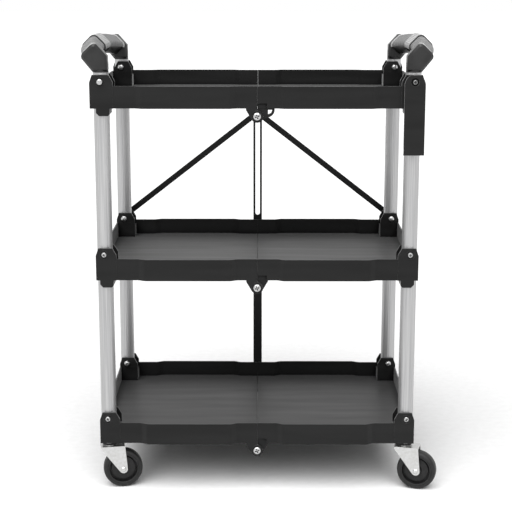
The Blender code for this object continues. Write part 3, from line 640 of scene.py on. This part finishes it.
def grip_sleeve(stations):
    """A soft sleeve over the bar's two upper sides and round its corners, with a wall."""
    piece = grip_bar(stations)
    make_active(piece)
    bpy.ops.object.mode_set(mode="EDIT")
    bpy.ops.mesh.select_mode(type="FACE")
    bpy.ops.mesh.select_all(action="DESELECT")
    shape = bmesh.from_edit_mesh(piece.data)
    shape.normal_update()
    for face in shape.faces:
        face.select_set(face.normal.z < UNDERSIDE or abs(face.normal.y) > END_FACE)
    bmesh.update_edit_mesh(piece.data)
    bpy.ops.mesh.delete(type="FACE")
    bpy.ops.mesh.select_mode(type="VERT")
    bpy.ops.object.mode_set(mode="OBJECT")
    return round_edges(thickened(piece, SLEEVE_WALL), SLEEVE_EDGE, 2, 50)


def dress_legs():
    """Four fluted legs."""
    tube = leg_tube()
    for side, across in SIDES.items():
        for end, depth in ENDS.items():
            place = Matrix.Translation((across * LEG_X, depth * LEG_Y, 0))
            stand_in(twin(tube, place), "fluted", f"leg_{side}_{end}")
    bpy.data.objects.remove(tube)


def seam_lip(height):
    """The thin lip of a left half that closes the seam: a floor strip, and an upright in each wall."""
    inner, outer = TRAY_WALL
    under, top = TRAY_FLOOR
    top -= SEAM_LIP_DROP
    low, high = SEAM_LIP_RISE
    bpy.ops.mesh.primitive_cube_add(size=1, location=(SEAM_LIP_X, 0, height + (under + top) / 2),
                                    scale=(SEAM_LIP_WIDTH, 2 * inner, top - under))
    piece = bpy.context.object
    for way in (-1, 1):
        bpy.ops.mesh.primitive_cube_add(
            size=1, location=(SEAM_LIP_X, way * (inner + outer) / 2, height + (low + high) / 2),
            scale=(SEAM_LIP_WIDTH, outer - inner - SEAM_LIP_GAP, high - low))
        bpy.context.object.select_set(True)
        piece.select_set(True)
        bpy.context.view_layer.objects.active = piece
        bpy.ops.object.join()
    return round_edges(settle(piece), SEAM_LIP_EDGE, 1)


def dress_shelves():
    """Six half trays with rounded edges, and the lips in their seams."""
    for level, height in LEVELS.items():
        for side in SIDES:
            node = f"shelf_{level}_{side}"
            stand_in(softened(node, TRAY_EDGE), "rounded", node)
        deliver(seam_lip(height), f"seam_lip_{level}", POLYPROPYLENE, f"{level}_left_half")


def dress_elbows():
    """The four handle elbows with soft edges."""
    for side in SIDES:
        for end in ENDS:
            node = f"handle_elbow_{side}_{end}"
            stand_in(softened(node, ELBOW_EDGE, 4), "rounded", node)


def dress_grips():
    """The grips: a black bar, grey sleeves that end in lips, and a raised band between them. The band and the
    lips take a paler copy of the sleeves' rubber, which is painted light on the band where it faces up.
    """
    lip_start, lip_end = (GRIP_REACH - inset for inset in LIP)
    near, far = BAND_REACH + GROOVE, lip_start - SLEEVE_GAP
    sleeve = grip_sleeve(even_stations(near, far, SLEEVE_SCALE, SLEEVE_STEPS))
    lip = grip_sleeve(even_stations(lip_start, lip_end, LIP_SCALE, LIP_STEPS))
    band = grip_sleeve(even_stations(-BAND_REACH, BAND_REACH, BAND_SCALE, BAND_STEPS))
    core = grip_core()
    for side, across in SIDES.items():
        node = f"handle_grip_{side}"
        body = body_of(node)
        place = Matrix.Translation((across * LEG_X, 0, SHOULDER)) @ Matrix.Scale(across, 4, (1, 0, 0))
        deliver(twin(core, place), f"grip_core_{side}", NYLON, body, node)
        # the band takes the rubber painted lighter, as painted light where it faces up
        deliver(twin(band, place), f"grip_band_{side}", GRIP_PAINTED_LIGHTER, body)
        for end, depth in ENDS.items():
            turned = place @ Matrix.Scale(-depth, 4, (0, 1, 0))
            deliver(twin(sleeve, turned), f"grip_sleeve_{side}_{end}", SOFT_GRIP, body)
            deliver(twin(lip, turned), f"grip_lip_{side}_{end}", GRIP_PAINTED_LIGHTER, body)
    for master in (sleeve, band, lip, core):
        bpy.data.objects.remove(master)


def dress_pivot(level, side, end, rim):
    """One leg pivot and the rim round it. The studs of the catch and the braces keep their CAD shape."""
    node = f"pivot_bolt_{level}_{side}_{end}"
    depth = ENDS[end]
    low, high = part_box(node)
    tip = low.y if depth > 0 else high.y
    across, height = SIDES[side] * LEG_X, LEVELS[level]
    under_latch = (level, side, end) == ("top", "right", "front")
    if (level, side, end) == ("top", "left", "front") or (level, end) == ("middle", "rear"):
        stand_in(softened(node, BAR_EDGE), "turned", node)
    else:
        place = Matrix.Translation((across, tip, height)) @ along_y(depth)
        piece = settle(bolt(high.y - low.y, PIVOT_HEAD, NUT), place)
        stand_in(piece, "headed", node, DULL_STEEL if under_latch else STEEL)
    if not under_latch:
        spot = Matrix.Translation((across, depth * EAR_FACE, height)) @ along_y(depth)
        deliver(twin(rim, spot), f"bolt_rim_{level}_{side}_{end}", POLYPROPYLENE, f"{level}_{side}_half")


def dress_hinge(level, rim):
    """The centre hinge bolts of one shelf, and the rim round the front one."""
    drop = LEVELS[level] - HINGE_DROP
    node = f"hinge_bolt_{level}_front"
    low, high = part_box(node)
    place = Matrix.Translation((0, high.y, drop)) @ along_y(-1)
    stand_in(settle(bolt(high.y - low.y, HINGE_HEAD, HINGE_NUT), place), "headed", node)
    spot = Matrix.Translation((0, -EAR_FACE, drop)) @ along_y(-1)
    deliver(twin(rim, spot), f"hinge_rim_{level}_front", POLYPROPYLENE, f"{level}_left_half")
    node = f"hinge_bolt_{level}_rear"
    stand_in(softened(node, BAR_EDGE), "turned", node)


def dress_bolts():
    """Leg pivots and centre hinges, with the rims that stand round them."""
    rim = bolt_rim(1.0)
    wide_rim = bolt_rim(WIDE_RIM)
    for level in LEVELS:
        for side in SIDES:
            for end in ENDS:
                dress_pivot(level, side, end, rim)
        dress_hinge(level, wide_rim)
    for master in (rim, wide_rim):
        bpy.data.objects.remove(master)


def dress_casters():
    """Moulded wheels, and forks, stems, axles and plugs with rounded edges."""
    wheel = caster_wheel()
    for (side, end), degrees in CASTER_TURNS.items():
        node = f"caster_wheel_{side}_{end}"
        low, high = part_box(node)
        swivel = Matrix.Rotation(math.radians(degrees), 4, "Z")
        place = Matrix.Translation((low + high) / 2) @ swivel @ along_y(1)
        stand_in(twin(wheel, place), "moulded", node)
        for part in ("caster_stem", "caster_fork", "caster_axle", "leg_plug"):
            node = f"{part}_{side}_{end}"
            stand_in(softened(node, PRESSED_EDGE), "rounded", node)
    bpy.data.objects.remove(wheel)


def dress_linkage():
    """The spine bars, the braces, their pin and the latch, with rounded edges."""
    for node in ("spine_bar_upper", "spine_bar_lower", "brace_left", "brace_right", "brace_pin"):
        stand_in(softened(node, BAR_EDGE), "rounded", node)
    stand_in(softened("latch", MOULDED_EDGE), "rounded", "latch")


def lay_floor():
    """A pale floor that is white to the camera and keeps the shadow."""
    bpy.ops.mesh.primitive_plane_add(size=2 * FLOOR_HALF)
    floor = bpy.context.object
    floor.name = "floor"
    material, tree, place = new_material("pale studio floor")
    # cloudy marks 17 mm across
    grain = add_node(tree, "ShaderNodeTexNoise", {"Scale": 60.0}, {"Vector": place})
    colour, rough = varied(tree, grain.outputs["Fac"], ("#f8f8f8", "#fcfcfc"), (0.85, 0.95))
    shade(tree, {"Specular IOR Level": 0.0}, colour, rough, grain.outputs["Fac"], 0.01, 0.001)
    floor.data.materials.append(material)


def light_studio():
    """A pale world, white where it is seen or mirrored, and one wide soft lamp."""
    world = bpy.data.worlds.new("pale studio")
    bpy.context.scene.world = world
    world.use_nodes = True
    tree = world.node_tree
    tree.nodes.clear()
    rays = add_node(tree, "ShaderNodeLightPath")
    seen = add_node(tree, "ShaderNodeMath", {"operation": "MAXIMUM"},
                    {0: rays.outputs["Is Camera Ray"], 1: rays.outputs["Is Glossy Ray"]})
    clear = add_node(tree, "ShaderNodeMath", {"operation": "MAXIMUM"},
                     {0: seen.outputs["Value"], 1: rays.outputs["Is Transmission Ray"]})
    light = add_node(tree, "ShaderNodeBackground", {"Color": (1, 1, 1, 1), "Strength": SKY_LIGHT})
    backdrop = add_node(tree, "ShaderNodeBackground", {"Color": (1, 1, 1, 1), "Strength": 1.0})
    mix = add_node(tree, "ShaderNodeMixShader",
                   links={"Fac": clear.outputs["Value"], 1: light.outputs[0], 2: backdrop.outputs[0]})
    add_node(tree, "ShaderNodeOutputWorld", links={"Surface": mix.outputs[0]})
    bpy.ops.object.light_add(type="SUN", rotation=[math.radians(angle) for angle in LAMP_TURN])
    lamp = bpy.context.object
    lamp.name = "soft key lamp"
    lamp.data.energy = LAMP_POWER
    lamp.data.angle = math.radians(LAMP_WIDTH)


def place_camera():
    """The photograph's camera."""
    bpy.ops.object.camera_add(location=CAMERA_PLACE,
                              rotation=(math.radians(90 - CAMERA_PITCH), 0, math.radians(CAMERA_YAW)))
    camera = bpy.context.object
    camera.data.sensor_width = CAMERA_SENSOR
    camera.data.lens = CAMERA_LENS
    bpy.context.scene.camera = camera
    bpy.context.scene.view_settings.view_transform = "Standard"


bpy.ops.object.select_all(action="DESELECT")
for node_name, node_object in frame["nodes"].items():
    for material_slot in node_object.material_slots:
        material_slot.material = finish_of(node_name)

place_camera()
dress_legs()
dress_shelves()
dress_elbows()
dress_grips()
dress_bolts()
dress_casters()
dress_linkage()
lay_floor()
light_studio()
